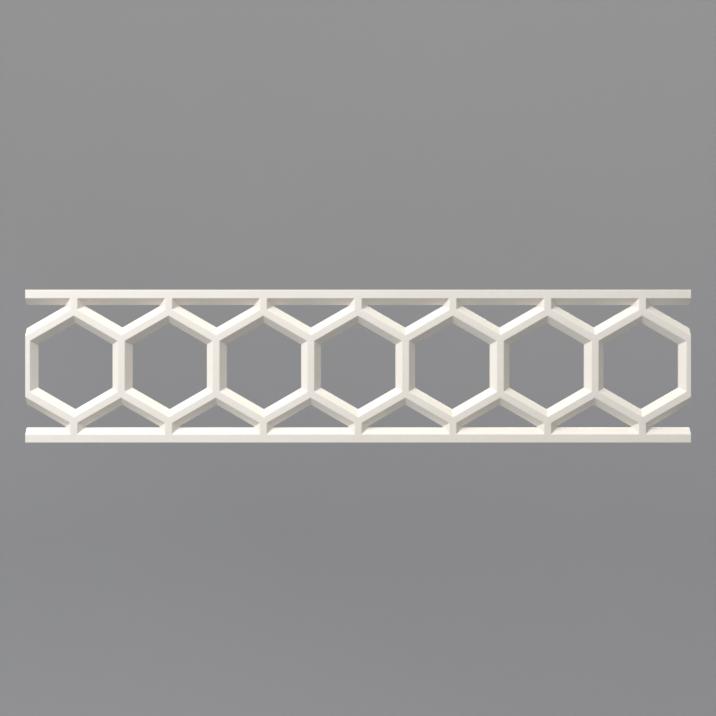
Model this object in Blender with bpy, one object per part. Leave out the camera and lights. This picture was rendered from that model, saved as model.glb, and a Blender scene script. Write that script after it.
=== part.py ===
"""Pierced polyurethane moulding: a row of regular hexagons between two straight rails.

It is one rigid casting. Both ends are cut square just outside the middle of an upright bar, so that lengths
butt together. +X runs along the length, +Z is up, the back lies in the plane y = 0 and the front faces -Y.
The origin is on the back of the lower rail, halfway along the length and halfway up that back.
"""

import math

import bmesh
import bpy

# Driving dimensions, in metres.
HEXAGON_COUNT = 7
PITCH = 0.1495  # one upright bar's middle to the next, which is also the hexagon's width across its flats
HEIGHT = 0.2413  # outer edge of one rail to outer edge of the other
DEPTH = 0.015  # back to front
CHAMFER = 0.010  # depth and run of the 45 degree chamfers; behind them the sides are square to the back
BAR_FLAT = 0.011  # the flat strip along the front of every bar and stub
RAIL_FLAT = 0.0134  # the flat strip along the front of each rail, up to its square outer edge
END_FLAT = 0.0073  # the flat strip up each end, from the end hexagon's opening to the cut
CUTTER_REACH = 0.005  # how far a cutter sticks out past the front and the back

# Dimensions that follow from them.
END_EXTRA = END_FLAT - BAR_FLAT / 2  # what stands past the middle of each end's upright bar
LENGTH = HEXAGON_COUNT * PITCH + 2 * END_EXTRA
HEXAGON_SIDE = PITCH / math.sqrt(3)
SLANT = math.radians(30)  # a slanted bar's angle to the rails
RAIL_BACK = RAIL_FLAT + CHAMFER
CENTRE_Z = (HEIGHT - RAIL_BACK) / 2

# The front edge of the gap under the upper rail, measured from the middle of the upright bar below it.
GAP_HALF_WIDTH = (PITCH - BAR_FLAT) / 2
GAP_TOP = HEIGHT / 2 - RAIL_FLAT
GAP_NOTCH = HEXAGON_SIDE / 2 + BAR_FLAT / 2 / math.cos(SLANT)  # its lowest point, above the upright bar
GAP_SHOULDER = GAP_NOTCH + GAP_HALF_WIDTH * math.tan(SLANT)  # where the slanted bars meet the stubs

# The finish: a warm white primer.
PRIMER_COLOUR = (0.86, 0.83, 0.78, 1.0)
PRIMER_ROUGHNESS = 0.55


def clear_scene():
    for obj in list(bpy.data.objects):
        bpy.data.objects.remove(obj)


def new_collection(name):
    collection = bpy.data.collections.new(name)
    bpy.context.scene.collection.children.link(collection)
    return collection


def primer_material():
    material = bpy.data.materials.new("warm_white_primer")
    material.use_nodes = True
    material.diffuse_color = PRIMER_COLOUR
    shader = material.node_tree.nodes["Principled BSDF"]
    shader.inputs["Base Color"].default_value = PRIMER_COLOUR
    shader.inputs["Roughness"].default_value = PRIMER_ROUGHNESS
    shader.inputs["Metallic"].default_value = 0.0
    return material


def hexagon_outline():
    """The front edge of a hexagonal opening, point up, as (x, z) from the hexagon's centre."""
    radius = (PITCH - BAR_FLAT) / math.sqrt(3)
    angles = [corner * math.tau / 6 for corner in range(6)]
    return [(radius * math.sin(angle), radius * math.cos(angle)) for angle in angles]


def gap_outline():
    """The front edge of the gap between the upper rail and two hexagons, as (x, z) from the upright there."""
    return [
        (-GAP_HALF_WIDTH, GAP_TOP),
        (GAP_HALF_WIDTH, GAP_TOP),
        (GAP_HALF_WIDTH, GAP_SHOULDER),
        (0, GAP_NOTCH),
        (-GAP_HALF_WIDTH, GAP_SHOULDER),
    ]


def end_gap_outline():
    """The same for the half gap at the right end, which runs on past the cut in line with the slanted bar."""
    past_cut = END_EXTRA + CHAMFER + CUTTER_REACH
    return [
        (-GAP_HALF_WIDTH, GAP_TOP),
        (past_cut, GAP_TOP),
        (past_cut, GAP_NOTCH - past_cut * math.tan(SLANT)),
        (-GAP_HALF_WIDTH, GAP_SHOULDER),
    ]


def extruded(bm, face, distance):
    """Extrude the face along +Y and return the face at the far end."""
    made = bmesh.ops.extrude_face_region(bm, geom=[face, *face.edges])["geom"]
    moved = [item for item in made if isinstance(item, bmesh.types.BMVert)]
    bmesh.ops.translate(bm, verts=moved, vec=(0, distance, 0))
    far_face = next(item for item in made if isinstance(item, bmesh.types.BMFace))
    far_face.normal_update()
    if far_face.normal.y < 0:
        far_face.normal_flip()
    return far_face


def opening_cutter(name, outline, x, collection):
    """A cutter with the shape of one opening: it narrows behind its front edge and then runs straight."""
    bm = bmesh.new()
    corners = [bm.verts.new((across, -DEPTH - CUTTER_REACH, up)) for across, up in outline]
    face = bm.faces.new(corners)
    face = extruded(bm, face, CUTTER_REACH)
    bmesh.ops.inset_individual(bm, faces=[face], thickness=CHAMFER, depth=CHAMFER, use_even_offset=True)
    extruded(bm, face, DEPTH - CHAMFER + CUTTER_REACH)
    bmesh.ops.recalc_face_normals(bm, faces=bm.faces[:])
    mesh = bpy.data.meshes.new(name)
    bm.to_mesh(mesh)
    bm.free()
    cutter = bpy.data.objects.new(name, mesh)
    cutter.location = (x, 0, CENTRE_Z)
    cutter.hide_render = True
    cutter.display_type = "WIRE"
    collection.objects.link(cutter)


def make_cutters(collection):
    """One cutter a hexagon, and one a gap; the gaps at the two ends are open at the cut."""
    for count in range(HEXAGON_COUNT + 1):
        bar_x = (count - HEXAGON_COUNT / 2) * PITCH
        outline = end_gap_outline() if count in (0, HEXAGON_COUNT) else gap_outline()
        end = -1 if count == 0 else 1
        for name, side in (("upper", 1), ("lower", -1)):
            turned = [(end * x, side * z) for x, z in outline]
            opening_cutter(f"{name}_gap_{count + 1}", turned, bar_x, collection)
        if count < HEXAGON_COUNT:
            opening_cutter(f"hexagon_{count + 1}", hexagon_outline(), bar_x + PITCH / 2, collection)


def make_moulding(collection, cutters):
    """A blank of the full length, height and depth, with every opening cut through it."""
    middle = (0, -DEPTH / 2, CENTRE_Z)
    bpy.ops.mesh.primitive_cube_add(size=1, location=middle, scale=(LENGTH, DEPTH, HEIGHT))
    moulding = bpy.context.object
    bpy.ops.object.transform_apply(location=False, rotation=False, scale=True)
    moulding.name = "hexagon_moulding"
    moulding.data.name = "hexagon_moulding"
    for owner in moulding.users_collection:
        owner.objects.unlink(moulding)
    collection.objects.link(moulding)
    piercing = moulding.modifiers.new("openings", "BOOLEAN")
    piercing.operation = "DIFFERENCE"
    piercing.solver = "EXACT"
    piercing.operand_type = "COLLECTION"
    piercing.collection = cutters
    moulding.data.materials.append(primer_material())


def main():
    clear_scene()
    parts = new_collection("hexagon_moulding")
    cutters = new_collection("cutters")
    make_cutters(cutters)
    make_moulding(parts, cutters)


if __name__ == "__main__":
    main()
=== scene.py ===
"""The looks of a pierced hexagon moulding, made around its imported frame.

It is laid out as an add-on and run as a script. Sizes are in metres, in the frame's own axes:
+X runs along the length, +Z is up, the back lies in the plane y = 0 and the front faces -Y.
"""

import math

import bmesh
import bpy
from bpy.props import FloatProperty, FloatVectorProperty, IntProperty, PointerProperty
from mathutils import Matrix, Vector


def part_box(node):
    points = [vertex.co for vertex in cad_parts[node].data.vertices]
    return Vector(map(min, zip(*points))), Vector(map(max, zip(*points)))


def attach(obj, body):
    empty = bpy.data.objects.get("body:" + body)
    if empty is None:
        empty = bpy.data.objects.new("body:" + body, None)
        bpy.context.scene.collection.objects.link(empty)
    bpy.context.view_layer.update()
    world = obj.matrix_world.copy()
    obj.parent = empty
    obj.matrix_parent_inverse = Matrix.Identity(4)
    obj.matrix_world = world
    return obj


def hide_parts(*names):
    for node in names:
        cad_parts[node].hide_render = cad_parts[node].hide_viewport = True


bl_info = {
    "name": "Pierced hexagon moulding",
    "version": (1, 0, 0),
    "blender": (4, 5, 0),
    "location": "View3D > Sidebar > Moulding",
    "description": "Models, finishes and lights a pierced polyurethane moulding on its fixed frame",
    "category": "Object",
}

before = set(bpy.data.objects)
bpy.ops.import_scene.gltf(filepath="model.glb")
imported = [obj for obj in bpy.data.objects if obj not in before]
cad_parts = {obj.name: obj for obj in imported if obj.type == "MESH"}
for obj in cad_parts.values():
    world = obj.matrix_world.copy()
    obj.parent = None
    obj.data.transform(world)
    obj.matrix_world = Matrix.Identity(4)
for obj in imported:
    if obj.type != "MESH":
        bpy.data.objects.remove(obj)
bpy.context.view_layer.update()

NODE = "hexagon_moulding"
BODY = "root"

# The casting's outside, read from the frame.
LOW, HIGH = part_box(NODE)
LENGTH = HIGH.x - LOW.x
DEPTH = HIGH.y - LOW.y
HEIGHT = HIGH.z - LOW.z
MIDDLE = (LOW + HIGH) / 2
FRONT = LOW.y

SLANT = math.radians(30)  # a slanted bar's angle to the rails
TOUCHING = 0.00001  # two points this close are one
SHARP = math.radians(20)  # a fold steeper than this is an edge of the form
FACING = 0.9  # a face looks along an axis when its normal has more than this of it
MILLIMETRE = 0.001

# A cutter's slope starts this far ahead of the front, and its straight sides end this far past the back.
OVERSHOOT = 0.002
# A cutter begins as a slab one overshoot thick, ahead of the slope. The slab's middle is here.
SLAB_Y = FRONT - 1.5 * OVERSHOOT

# Where the photograph, a square picture, shows the front of the moulding, in its pixels.
PICTURE_SIDE = 716
PICTURE_LENGTH = 665.8
PICTURE_MIDDLE = (358.1, 366.25)

# Material slots of the casting. The last one only marks the rounded edges while they are made.
PRIMER, RAW_BACK, SAWN_END, ROUNDED = range(4)


class CastingSizes(bpy.types.PropertyGroup):
    """Sizes of the casting that its outside doesn't give."""

    hexagon_count: IntProperty(name="Hexagons", description="Hexagons along the length", default=7, min=1)
    bar_flat: FloatProperty(
        name="Bar flat", description="Width of a bar's flat front strip", default=0.011, unit="LENGTH"
    )
    rail_flat: FloatProperty(
        name="Rail flat", description="Width of a rail's flat front strip", default=0.0134, unit="LENGTH"
    )
    end_flat: FloatProperty(
        name="End flat", description="Width of the flat strip up each end", default=0.0073, unit="LENGTH"
    )
    chamfer: FloatProperty(
        name="Chamfer", description="Depth and run of the 45 degree chamfers", default=0.010, unit="LENGTH"
    )
    edge_rounding: FloatProperty(
        name="Edge rounding", description="Width rounded off each moulded edge", default=0.0008, unit="LENGTH"
    )
    back_rounding: FloatProperty(
        name="Back rounding", description="Width rounded off the back's edges", default=0.0003, unit="LENGTH"
    )
    end_rounding: FloatProperty(
        name="End rounding", description="Width rounded off the sawn ends", default=0.0002, unit="LENGTH"
    )
    rounding_steps: IntProperty(
        name="Rounding steps", description="Faces across a rounded edge", default=4, min=1
    )


class CastingFinish(bpy.types.PropertyGroup):
    """Colours and surface of the primer, the raw back and the sawn ends."""

    primer_light: FloatVectorProperty(
        name="Primer", description="Warm white primer",
        default=(0.870, 0.830, 0.765), subtype="COLOR", min=0, max=1
    )
    # This colour is also the painted shade in the valleys.
    primer_dark: FloatVectorProperty(
        name="Primer, thin", description="Where the primer is thinner",
        default=(0.835, 0.790, 0.715), subtype="COLOR", min=0, max=1
    )
    foam_light: FloatVectorProperty(
        name="Foam", description="Bare foam skin",
        default=(0.820, 0.775, 0.685), subtype="COLOR", min=0, max=1
    )
    # This colour, darkened, is also the painted shade in pits and holes.
    foam_dark: FloatVectorProperty(
        name="Foam, scuffed", description="Scuffed foam",
        default=(0.740, 0.690, 0.590), subtype="COLOR", min=0, max=1
    )
    primer_roughness: FloatProperty(
        name="Primer roughness", description="Roughness of the primer", default=0.50, min=0, max=1
    )
    foam_roughness: FloatProperty(
        name="Foam roughness", description="Roughness of bare foam", default=0.80, min=0, max=1
    )


class StudioSettings(bpy.types.PropertyGroup):
    """The backdrop, lights and camera."""

    floor_colour: FloatVectorProperty(
        name="Floor", description="Pale floor that sweeps up all round",
        default=(0.40, 0.405, 0.43), subtype="COLOR", min=0, max=1
    )
    floor_radius: FloatProperty(
        name="Floor radius", description="Radius of the floor", default=3.4, unit="LENGTH"
    )
    floor_drop: FloatProperty(
        name="Floor drop", description="Floor below the moulding's middle", default=2.4, unit="LENGTH"
    )
    wall_height: FloatProperty(
        name="Wall height", description="Height of the sweep", default=4.6, unit="LENGTH"
    )
    sweep_radius: FloatProperty(
        name="Sweep", description="Radius of the floor's curve", default=1.7, unit="LENGTH"
    )
    camera_distance: FloatProperty(
        name="Camera distance", description="Camera to the front of the moulding", default=2.1, unit="LENGTH"
    )
    key_power: FloatProperty(
        name="Key", description="Power of the key light", default=88.0, unit="POWER"
    )
    back_power: FloatProperty(
        name="Back", description="Power of the light behind", default=25.0, unit="POWER"
    )
    sky_strength: FloatProperty(
        name="Sky", description="Strength of the light from above", default=0.77, min=0
    )


def deselect_all():
    """Leave edit mode and select nothing, the frame's own nodes included."""
    if bpy.context.mode != "OBJECT":
        bpy.ops.object.mode_set(mode="OBJECT")
    bpy.ops.object.select_all(action="DESELECT")


def select_only(obj):
    deselect_all()
    obj.select_set(True)
    bpy.context.view_layer.objects.active = obj


def enter_edit_mode(obj, element):
    """Edit one object, with nothing of its mesh selected. element is VERT, EDGE or FACE."""
    select_only(obj)
    bpy.ops.object.mode_set(mode="EDIT")
    bpy.ops.mesh.select_mode(type=element)
    bpy.ops.mesh.select_all(action="DESELECT")


def leave_edit_mode():
    bpy.ops.object.mode_set(mode="OBJECT")


def pick(obj, elements, wanted):
    """In edit mode, select each of the mesh's verts, edges or faces for which wanted is true."""
    mesh = bmesh.from_edit_mesh(obj.data)
    mesh.normal_update()
    found = [item for item in getattr(mesh, elements) if wanted(item)]
    if not found:
        raise RuntimeError(f"{obj.name} has no {elements} to work on where some should be")
    for item in found:
        item.select_set(True)
    bmesh.update_edit_mesh(obj.data)


def settle(obj):
    """Put the object's place into its mesh, so that the object itself sits at the origin."""
    select_only(obj)
    bpy.ops.object.transform_apply(location=True, rotation=True, scale=True)


def apply_modifier(obj, modifier):
    select_only(obj)
    bpy.ops.object.modifier_apply(modifier=modifier.name)


def face_outwards(obj):
    enter_edit_mode(obj, "FACE")
    bpy.ops.mesh.select_all(action="SELECT")
    bpy.ops.mesh.normals_make_consistent(inside=False)
    leave_edit_mode()


def require_closed(obj):
    """Stop with an error where a mesh that should be one closed skin has a hole in it."""
    mesh = bmesh.new()
    mesh.from_mesh(obj.data)
    closed = all(edge.is_manifold for edge in mesh.edges)
    mesh.free()
    if not closed:
        raise RuntimeError(f"{obj.name} has a hole in its surface")


def deepen_cutter(cutter, sizes):
    """From its back face, narrow a cutter at 45 degrees and then carry it straight out through the back."""
    enter_edit_mode(cutter, "FACE")
    pick(cutter, "faces", lambda face: face.normal.y > FACING)
    slope = OVERSHOOT + sizes.chamfer
    bpy.ops.mesh.inset(thickness=slope, depth=slope, use_even_offset=True)
    straight = DEPTH - sizes.chamfer + OVERSHOOT
    bpy.ops.mesh.extrude_region_move(TRANSFORM_OT_translate={"value": (0, straight, 0)})
    leave_edit_mode()
    face_outwards(cutter)


def make_hexagon_cutter(sizes, pitch):
    """The shape of a hexagonal opening, point up. Ahead of the casting it is wider by the overshoot."""
    deselect_all()
    bpy.ops.mesh.primitive_cylinder_add(
        vertices=6,
        radius=(pitch - sizes.bar_flat + 2 * OVERSHOOT) / math.sqrt(3),
        depth=OVERSHOOT,
        location=(0, SLAB_Y, MIDDLE.z),
        rotation=(math.pi / 2, 0, 0),
    )
    cutter = bpy.context.object
    settle(cutter)
    deepen_cutter(cutter, sizes)
    return cutter


def make_upper_gap_cutter(sizes, pitch):
    """The shape of the gap under the upper rail, centred on the upright bar to the right of the hexagon."""
    deselect_all()
    top = HIGH.z - sizes.rail_flat + OVERSHOOT
    notch = MIDDLE.z + pitch / math.sqrt(3) / 2 + (sizes.bar_flat / 2 - OVERSHOOT) / math.cos(SLANT)
    bpy.ops.mesh.primitive_cube_add(
        size=1,
        location=(pitch / 2, SLAB_Y, (top + notch) / 2),
        scale=(pitch - sizes.bar_flat + 2 * OVERSHOOT, OVERSHOOT, top - notch),
    )
    cutter = bpy.context.object
    settle(cutter)
    enter_edit_mode(cutter, "FACE")
    for side in (-1, 1):
        bpy.ops.mesh.select_all(action="SELECT")
        bpy.ops.mesh.bisect(
            plane_co=(pitch / 2, 0, notch),
            plane_no=(side * math.sin(SLANT), 0, -math.cos(SLANT)),
            use_fill=True,
            clear_outer=True,
        )
    leave_edit_mode()
    deepen_cutter(cutter, sizes)
    return cutter


def turned_over(cutter):
    """A copy of a gap's cutter for the same gap above the lower rail."""
    copy = cutter.copy()
    copy.data = cutter.data.copy()
    bpy.context.collection.objects.link(copy)
    enter_edit_mode(copy, "FACE")
    bpy.ops.mesh.select_all(action="SELECT")
    bpy.ops.transform.resize(value=(1, 1, -1), center_override=MIDDLE)
    leave_edit_mode()
    face_outwards(copy)
    return copy


def make_cutters(sizes, pitch):
    """Every opening that touches one half cell, joined into one cutter."""
    hexagon = make_hexagon_cutter(sizes, pitch)
    upper_gap = make_upper_gap_cutter(sizes, pitch)
    lower_gap = turned_over(upper_gap)
    select_only(hexagon)
    upper_gap.select_set(True)
    lower_gap.select_set(True)
    bpy.ops.object.join()
    return hexagon


def make_half_cell(sizes, pitch):
    """Half a hexagon with its share of the rails, open at both sides.

    It runs from the hexagon's middle to the middle of the upright bar on its right. It is cut with a little
    to spare and then trimmed, so that no corner of an opening lies on a side while it is cut.
    """
    cutters = make_cutters(sizes, pitch)
    spare = sizes.bar_flat / 4
    deselect_all()
    bpy.ops.mesh.primitive_cube_add(
        size=1,
        location=(pitch / 4, MIDDLE.y, MIDDLE.z),
        scale=(pitch / 2 + 2 * spare, DEPTH, HEIGHT),
    )
    half = bpy.context.object
    settle(half)
    pierce = half.modifiers.new("openings", "BOOLEAN")
    pierce.operation = "DIFFERENCE"
    pierce.solver = "EXACT"
    pierce.object = cutters
    apply_modifier(half, pierce)
    bpy.data.objects.remove(cutters)
    require_closed(half)
    enter_edit_mode(half, "FACE")
    for side_x, outward in ((0, -1), (pitch / 2, 1)):
        bpy.ops.mesh.select_all(action="SELECT")
        bpy.ops.mesh.bisect(plane_co=(side_x, 0, 0), plane_no=(outward, 0, 0), clear_outer=True)
    leave_edit_mode()
    return half


def repeat_cell(casting, sizes, pitch):
    """Mirror the half cell and repeat the whole one along the length."""
    whole = casting.modifiers.new("whole cell", "MIRROR")
    whole.merge_threshold = TOUCHING
    apply_modifier(casting, whole)
    enter_edit_mode(casting, "FACE")
    bpy.ops.mesh.select_all(action="SELECT")
    first_x = MIDDLE.x - (sizes.hexagon_count - 1) / 2 * pitch
    bpy.ops.transform.translate(value=(first_x, 0, 0))
    leave_edit_mode()
    row = casting.modifiers.new("row", "ARRAY")
    row.count = sizes.hexagon_count
    row.use_relative_offset = False
    row.use_constant_offset = True
    row.constant_offset_displace = (pitch, 0, 0)
    row.use_merge_vertices = True
    row.merge_threshold = TOUCHING
    apply_modifier(casting, row)


def draw_out_ends(casting, sizes, pitch):
    """Draw the row's open ends out to the cut: the rails straight on, the bars on along their slant."""
    half_row = sizes.hexagon_count * pitch / 2
    past_middle = LENGTH / 2 - half_row
    half_opening = HEIGHT / 2 - sizes.rail_flat - sizes.chamfer - TOUCHING

    def slant_of(point):
        """0 on a rail, 1 on the bars above the middle and -1 on those below it."""
        height = point.z - MIDDLE.z
        return 0 if abs(height) > half_opening else math.copysign(1, height)

    for end in (-1, 1):
        for slant in (-1, 0, 1):
            enter_edit_mode(casting, "VERT")
            pick(casting, "verts", lambda vert: (
                abs(vert.co.x - MIDDLE.x - end * half_row) < TOUCHING and slant_of(vert.co) == slant
            ))
            drop = slant * past_middle * math.tan(SLANT)
            bpy.ops.transform.translate(value=(end * past_middle, 0, -drop))
            leave_edit_mode()


def close_ends(casting):
    """Close the cut ends: two rails and one upright bar at each."""
    enter_edit_mode(casting, "EDGE")
    bpy.ops.mesh.select_non_manifold(extend=False)
    bpy.ops.mesh.edge_face_add()
    leave_edit_mode()
    require_closed(casting)
    face_outwards(casting)


def make_casting(sizes):
    """The whole casting with crisp edges."""
    past_middle = sizes.end_flat - sizes.bar_flat / 2
    pitch = (LENGTH - 2 * past_middle) / sizes.hexagon_count
    casting = make_half_cell(sizes, pitch)
    casting.name = "pierced_casting"
    casting.data.name = "pierced_casting"
    repeat_cell(casting, sizes, pitch)
    draw_out_ends(casting, sizes, pitch)
    close_ends(casting)
    return casting


def lies_on_back(edge):
    return all(abs(vert.co.y - HIGH.y) < TOUCHING for vert in edge.verts)


def lies_on_end(edge):
    return all(abs(abs(vert.co.x - MIDDLE.x) - LENGTH / 2) < TOUCHING for vert in edge.verts)


def round_edges(casting, sizes):
    """Round the moulded edges and valleys, and break the edges of the back and the ends a little."""
    enter_edit_mode(casting, "EDGE")
    mesh = bmesh.from_edit_mesh(casting.data)
    mesh.normal_update()
    weight = mesh.edges.layers.float.new("bevel_weight_edge")
    for edge in mesh.edges:
        if abs(edge.calc_face_angle_signed()) < SHARP:
            edge[weight] = 0
        elif lies_on_end(edge):
            edge[weight] = sizes.end_rounding / sizes.edge_rounding
        elif lies_on_back(edge):
            edge[weight] = sizes.back_rounding / sizes.edge_rounding
        else:
            edge[weight] = 1
    bmesh.update_edit_mesh(casting.data)
    leave_edit_mode()
    # The modifier gives its new faces only a slot that is there, so the primer fills the fourth one too.
    casting.data.materials.append(casting.data.materials[PRIMER])
    rounding = casting.modifiers.new("rounding", "BEVEL")
    rounding.limit_method = "WEIGHT"
    rounding.width = sizes.edge_rounding
    rounding.segments = sizes.rounding_steps
    rounding.material = ROUNDED
    apply_modifier(casting, rounding)


def mark_surfaces(casting):
    """Give each face its finish, and note in edge_turn where it rounds an outer edge (1) or a valley (-1)."""
    mesh = bmesh.new()
    mesh.from_mesh(casting.data)
    mesh.normal_update()
    turn = mesh.faces.layers.float.new("edge_turn")
    for face in mesh.faces:
        if face.material_index == ROUNDED:
            folds = sum(edge.calc_face_angle_signed() for edge in face.edges)
            face[turn] = math.copysign(1, folds)
            face.material_index = PRIMER
        elif face.normal.y > FACING:
            face.material_index = RAW_BACK
        elif abs(abs(face.calc_center_median().x - MIDDLE.x) - LENGTH / 2) < TOUCHING:
            face.material_index = SAWN_END
    mesh.to_mesh(casting.data)
    mesh.free()
    casting.data.materials.pop(index=ROUNDED)


def shade(casting):
    """Smooth across the rounded edges only, so that the flats between them stay flat."""
    select_only(casting)
    bpy.ops.object.shade_smooth_by_angle(angle=SHARP)
    weighting = casting.modifiers.new("flat faces first", "WEIGHTED_NORMAL")
    weighting.mode = "FACE_AREA"
    weighting.weight = 100
    weighting.keep_sharp = True
    apply_modifier(casting, weighting)


def rgba(colour):
    return (*colour, 1.0)


def lightened(colour, share):
    """The colour, taken the given share of the way to white."""
    return [channel + (1 - channel) * share for channel in colour]


def darkened(colour, share):
    """The colour, taken the given share of the way to black."""
    return [channel * (1 - share) for channel in colour]


def new_node(tree, kind, inputs=None, **settings):
    """Add a node. An input is named, or numbered, and is a value or the socket that feeds it."""
    node = tree.nodes.new(kind)
    for name, value in settings.items():
        setattr(node, name, value)
    for name, value in (inputs or {}).items():
        if isinstance(value, bpy.types.NodeSocket):
            tree.links.new(value, node.inputs[name])
        else:
            node.inputs[name].default_value = value
    return node


def calculate(tree, operation, first, second):
    return new_node(tree, "ShaderNodeMath", {0: first, 1: second}, operation=operation).outputs[0]


def weighted_sum(tree, terms):
    """The sum of several sockets, each times its own weight."""
    parts = [calculate(tree, "MULTIPLY", value, weight) for value, weight in terms]
    summed = parts[0]
    for part in parts[1:]:
        summed = calculate(tree, "ADD", summed, part)
    return summed


def remap(tree, value, source, target):
    """Carry a value from one range to another, held inside the second."""
    inputs = {
        "Value": value,
        "From Min": source[0],
        "From Max": source[1],
        "To Min": target[0],
        "To Max": target[1],
    }
    return new_node(tree, "ShaderNodeMapRange", inputs).outputs["Result"]


def mix_colours(tree, factor, first, second):
    """Go from the first colour to the second. A Mix node's colour sockets have numbers of their own."""
    node = new_node(tree, "ShaderNodeMix", {0: factor, 6: first, 7: second}, data_type="RGBA")
    return node.outputs[2]


def noise(tree, place, size, detail=2.0, stretch=(1, 1, 1)):
    """Noise whose features are about size metres across, or longer along an axis where stretch is over 1."""
    scale = [1 / (size * factor) for factor in stretch]
    spread = new_node(tree, "ShaderNodeMapping", {"Vector": place, "Scale": scale})
    inputs = {"Vector": spread.outputs[0], "Scale": 1.0, "Detail": detail, "Roughness": 0.55}
    return new_node(tree, "ShaderNodeTexNoise", inputs).outputs["Fac"]


def pits(tree, place, spacing, radius, share):
    """Round pits of up to the given radius, 1 in their middles.

    They stand about spacing metres apart, in the given share of the places where one could be.
    """
    cells = new_node(tree, "ShaderNodeTexVoronoi", {"Vector": place, "Scale": 1 / spacing})
    chance = new_node(tree, "ShaderNodeSeparateColor", {"Color": cells.outputs["Color"]})
    size = remap(tree, chance.outputs["Green"], (0, 1), (0.4, 1))
    distance = calculate(tree, "DIVIDE", cells.outputs["Distance"], size)
    inside = remap(tree, distance, (0.5 * radius / spacing, radius / spacing), (1, 0))
    present = calculate(tree, "LESS_THAN", chance.outputs["Red"], share)
    return calculate(tree, "MULTIPLY", inside, present)


def new_material(name):
    """A material with its tree, its shader and the place on the piece."""
    material = bpy.data.materials.new(name)
    material.use_nodes = True
    tree = material.node_tree
    shader = tree.nodes["Principled BSDF"]
    place = new_node(tree, "ShaderNodeTexCoord").outputs["Object"]
    return material, tree, shader, place


def set_surface(tree, shader, colour, roughness, relief):
    """Give the shader its colour, roughness and relief: patterns, each with its height in millimetres."""
    height = weighted_sum(tree, relief)
    bump = new_node(tree, "ShaderNodeBump", {"Height": height, "Strength": 1.0, "Distance": MILLIMETRE})
    tree.links.new(colour, shader.inputs["Base Color"])
    tree.links.new(roughness, shader.inputs["Roughness"])
    tree.links.new(bump.outputs["Normal"], shader.inputs["Normal"])


def make_primer(finish):
    """Sprayed warm white primer over moulded foam skin: fine peel, slight drifts of tone, a few pinholes."""
    material, tree, shader, place = new_material("warm_white_primer")
    drift = noise(tree, place, size=0.16)
    mottle = noise(tree, place, size=0.006, detail=4)
    peel = noise(tree, place, size=0.0022)
    grain = noise(tree, place, size=0.0004)
    waves = noise(tree, place, size=0.045, detail=1)
    pinholes = pits(tree, place, spacing=0.006, radius=0.00035, share=0.2)
    mark = new_node(tree, "ShaderNodeAttribute", attribute_name="edge_turn", attribute_type="GEOMETRY")
    turn = mark.outputs["Fac"]

    thin = weighted_sum(tree, [
        (remap(tree, drift, (0.35, 0.65), (0, 1)), 0.5),
        (remap(tree, mottle, (0.35, 0.65), (0, 1)), 0.5),
    ])
    colour = mix_colours(tree, thin, rgba(finish.primer_light), rgba(finish.primer_dark))
    # Painted highlight: the rounded outer edges are lightened towards white.
    painted_edge_highlight = remap(tree, turn, (0, 1), (0, 0.35))
    colour = mix_colours(tree, painted_edge_highlight, colour, rgba(lightened(finish.primer_light, 0.25)))
    # Painted shade: the rounded valleys are darkened towards the thin primer's colour.
    painted_valley_shade = remap(tree, turn, (-1, 0), (0.5, 0))
    colour = mix_colours(tree, painted_valley_shade, colour, rgba(finish.primer_dark))
    # Painted shade in the pinholes: they are darkened towards the scuffed foam colour.
    shaded = calculate(tree, "MULTIPLY", pinholes, 0.5)
    colour = mix_colours(tree, shaded, colour, rgba(finish.foam_dark))

    rough = finish.primer_roughness
    sprayed = remap(tree, mottle, (0.3, 0.7), (rough - 0.06, rough + 0.08))
    polish = calculate(tree, "MULTIPLY", calculate(tree, "ABSOLUTE", turn, 0.0), 0.07)
    roughness = calculate(tree, "SUBTRACT", sprayed, polish)
    relief = [(waves, 0.5), (peel, 0.07), (grain, 0.02), (pinholes, -0.2)]
    set_surface(tree, shader, colour, roughness, relief)
    return material


def make_raw_back(finish):
    """The struck-off back of the casting: bare foam skin with open bubbles, lightly sanded lengthwise."""
    material, tree, shader, place = new_material("raw_foam_back")
    cloud = noise(tree, place, size=0.035, detail=4)
    skin = noise(tree, place, size=0.0018, detail=3)
    sanding = noise(tree, place, size=0.0005, stretch=(14, 1, 1))
    bubbles = pits(tree, place, spacing=0.003, radius=0.0004, share=0.55)
    large_bubbles = pits(tree, place, spacing=0.008, radius=0.001, share=0.3)
    holes = calculate(tree, "MAXIMUM", bubbles, large_bubbles)

    worn = weighted_sum(tree, [
        (remap(tree, cloud, (0.35, 0.65), (0, 1)), 0.55),
        (remap(tree, skin, (0.3, 0.7), (0, 1)), 0.3),
        (remap(tree, sanding, (0.3, 0.7), (0, 1)), 0.15),
    ])
    colour = mix_colours(tree, worn, rgba(finish.foam_light), rgba(finish.foam_dark))
    # Painted shade in the bubbles: the holes are darkened below the scuffed foam.
    shaded = calculate(tree, "MULTIPLY", holes, 0.6)
    colour = mix_colours(tree, shaded, colour, rgba(darkened(finish.foam_dark, 0.4)))

    rough = finish.foam_roughness
    roughness = remap(tree, skin, (0.3, 0.7), (rough - 0.1, rough + 0.1))
    relief = [(cloud, 0.4), (skin, 0.12), (sanding, 0.03), (holes, -0.4)]
    set_surface(tree, shader, colour, roughness, relief)
    return material


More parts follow.
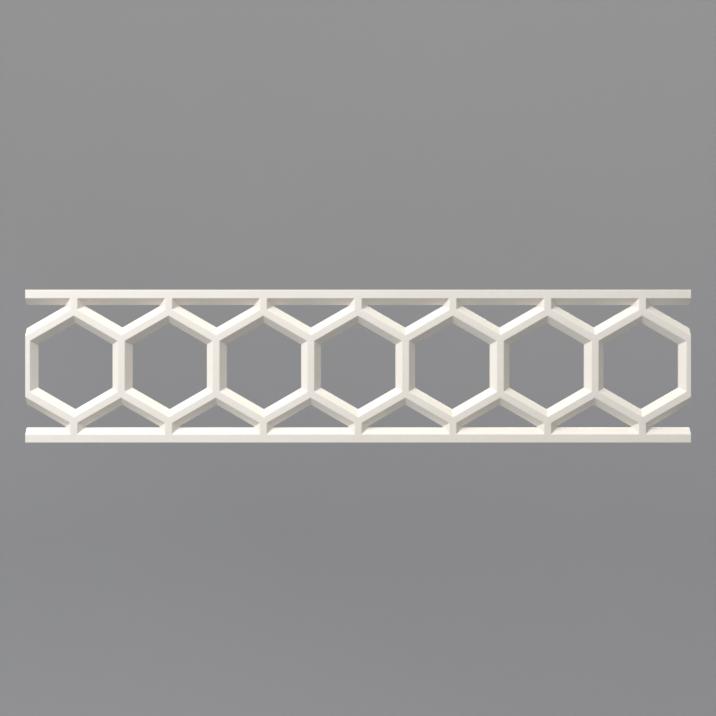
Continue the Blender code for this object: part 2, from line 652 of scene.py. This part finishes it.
def make_sawn_end(finish):
    """The sawn ends: bare foam with fine cells and the blade's marks across it."""
    material, tree, shader, place = new_material("sawn_foam_end")
    blade = noise(tree, place, size=0.0008, stretch=(1, 25, 1))
    cells = pits(tree, place, spacing=0.0006, radius=0.00015, share=0.6)
    large_cells = pits(tree, place, spacing=0.0025, radius=0.0004, share=0.4)
    holes = calculate(tree, "MAXIMUM", cells, large_cells)

    worn = remap(tree, blade, (0.3, 0.7), (0, 1))
    colour = mix_colours(tree, worn, rgba(finish.foam_light), rgba(finish.foam_dark))
    # Painted shade in the cells: the holes are darkened below the scuffed foam.
    shaded = calculate(tree, "MULTIPLY", holes, 0.45)
    colour = mix_colours(tree, shaded, colour, rgba(darkened(finish.foam_dark, 0.4)))

    rough = finish.foam_roughness
    roughness = remap(tree, blade, (0.3, 0.7), (rough - 0.05, rough + 0.1))
    relief = [(blade, 0.12), (holes, -0.15)]
    set_surface(tree, shader, colour, roughness, relief)
    return material


class MOULDING_OT_add_casting(bpy.types.Operator):
    """Model the pierced casting in place of its plain node and finish it"""

    bl_idname = "moulding.add_casting"
    bl_label = "Add casting"
    bl_options = {"REGISTER", "UNDO"}

    def execute(self, context):
        sizes = context.scene.moulding_sizes
        finish = context.scene.moulding_finish
        casting = make_casting(sizes)
        for material in (make_primer(finish), make_raw_back(finish), make_sawn_end(finish)):
            casting.data.materials.append(material)
        round_edges(casting, sizes)
        mark_surfaces(casting)
        shade(casting)
        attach(casting, BODY)
        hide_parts(NODE)
        return {"FINISHED"}


def make_floor_paint(studio):
    """Flat pale paint with the faintest cloud in it, up to 3 percent paler."""
    material, tree, shader, place = new_material("pale_floor_paint")
    cloud = noise(tree, place, size=0.8)
    paler = [channel * 1.03 for channel in studio.floor_colour]
    colour = mix_colours(tree, cloud, rgba(studio.floor_colour), rgba(paler))
    tree.links.new(colour, shader.inputs["Base Color"])
    shader.inputs["Roughness"].default_value = 0.9
    return material


def make_floor(studio):
    """A round pale floor that sweeps up all round it, so that every view has the same plain backdrop."""
    deselect_all()
    floor_z = MIDDLE.z - studio.floor_drop
    bpy.ops.mesh.primitive_cylinder_add(
        vertices=96,
        radius=studio.floor_radius,
        depth=studio.wall_height,
        location=(0, 0, floor_z + studio.wall_height / 2),
    )
    floor = bpy.context.object
    floor.name = "studio_floor"
    floor.data.name = "studio_floor"
    settle(floor)
    enter_edit_mode(floor, "FACE")
    pick(floor, "faces", lambda face: face.normal.z > FACING)
    bpy.ops.mesh.delete(type="FACE")
    bpy.ops.mesh.select_mode(type="EDGE")
    pick(floor, "edges", lambda edge: all(abs(vert.co.z - floor_z) < TOUCHING for vert in edge.verts))
    bpy.ops.mesh.bevel(offset=studio.sweep_radius, segments=16, profile=0.5, affect="EDGES")
    bpy.ops.mesh.select_all(action="SELECT")
    bpy.ops.mesh.normals_make_consistent(inside=True)
    leave_edit_mode()
    bpy.ops.object.shade_smooth_by_angle(angle=SHARP)
    floor.data.materials.append(make_floor_paint(studio))


def make_softbox(name, place, size, power, colour):
    """A square soft light, out of sight, that faces the moulding. Its place is measured from the middle."""
    data = bpy.data.lights.new(name, "AREA")
    data.size = size
    data.energy = power
    data.color = colour
    light = bpy.data.objects.new(name, data)
    light.location = MIDDLE + Vector(place)
    light.rotation_euler = (MIDDLE - light.location).to_track_quat("-Z", "Y").to_euler()
    light.visible_camera = False
    bpy.context.scene.collection.objects.link(light)


def make_lights(studio):
    """A key from the upper left of the front, one light behind, and the sky above the sweep."""
    make_softbox(
        "key_light", place=(-1.40, -1.57, 1.85), size=1.6, power=studio.key_power, colour=(0.975, 0.98, 1.0)
    )
    make_softbox(
        "back_light", place=(0.9, 1.5, 1.0), size=1.0, power=studio.back_power, colour=(0.97, 0.985, 1.0)
    )
    world = bpy.data.worlds.new("studio_sky")
    world.use_nodes = True
    background = world.node_tree.nodes["Background"]
    background.inputs["Color"].default_value = rgba((1.0, 0.963, 0.82))
    background.inputs["Strength"].default_value = studio.sky_strength
    bpy.context.scene.world = world


def make_camera(studio):
    """Look level and square at the front, which takes the same place in the picture as in the photograph."""
    pixel = LENGTH / PICTURE_LENGTH
    right = (PICTURE_SIDE / 2 - PICTURE_MIDDLE[0]) * pixel
    up = (PICTURE_MIDDLE[1] - PICTURE_SIDE / 2) * pixel
    data = bpy.data.cameras.new("photo_camera")
    data.sensor_width = 36.0
    data.lens = data.sensor_width * studio.camera_distance / (PICTURE_SIDE * pixel)
    camera = bpy.data.objects.new("photo_camera", data)
    camera.location = (MIDDLE.x + right, FRONT - studio.camera_distance, MIDDLE.z + up)
    camera.rotation_euler = (math.pi / 2, 0, 0)
    bpy.context.scene.collection.objects.link(camera)
    bpy.context.scene.camera = camera


class MOULDING_OT_add_stage(bpy.types.Operator):
    """Make the pale floor, the studio lights and the camera"""

    bl_idname = "moulding.add_stage"
    bl_label = "Add stage"
    bl_options = {"REGISTER", "UNDO"}

    def execute(self, context):
        studio = context.scene.moulding_studio
        make_floor(studio)
        make_lights(studio)
        make_camera(studio)
        context.scene.view_settings.view_transform = "Standard"
        return {"FINISHED"}


class MOULDING_PT_sidebar(bpy.types.Panel):
    """Sizes, finishes and studio of the moulding, with the steps that make it"""

    bl_idname = "MOULDING_PT_sidebar"
    bl_label = "Pierced moulding"
    bl_space_type = "VIEW_3D"
    bl_region_type = "UI"
    bl_category = "Moulding"

    def draw(self, context):
        groups = (
            (context.scene.moulding_sizes, (MOULDING_OT_add_casting,)),
            (context.scene.moulding_finish, ()),
            (context.scene.moulding_studio, (MOULDING_OT_add_stage,)),
        )
        for settings, steps in groups:
            box = self.layout.box()
            for name in settings.__annotations__:
                box.prop(settings, name)
            for step in steps:
                box.operator(step.bl_idname)


CLASSES = (
    CastingSizes,
    CastingFinish,
    StudioSettings,
    MOULDING_OT_add_casting,
    MOULDING_OT_add_stage,
    MOULDING_PT_sidebar,
)


def register():
    for entry in CLASSES:
        bpy.utils.register_class(entry)
    bpy.types.Scene.moulding_sizes = PointerProperty(type=CastingSizes)
    bpy.types.Scene.moulding_finish = PointerProperty(type=CastingFinish)
    bpy.types.Scene.moulding_studio = PointerProperty(type=StudioSettings)


def unregister():
    del bpy.types.Scene.moulding_studio
    del bpy.types.Scene.moulding_finish
    del bpy.types.Scene.moulding_sizes
    for entry in reversed(CLASSES):
        bpy.utils.unregister_class(entry)


def main():
    register()
    bpy.ops.moulding.add_casting()
    bpy.ops.moulding.add_stage()


if __name__ == "__main__":
    main()
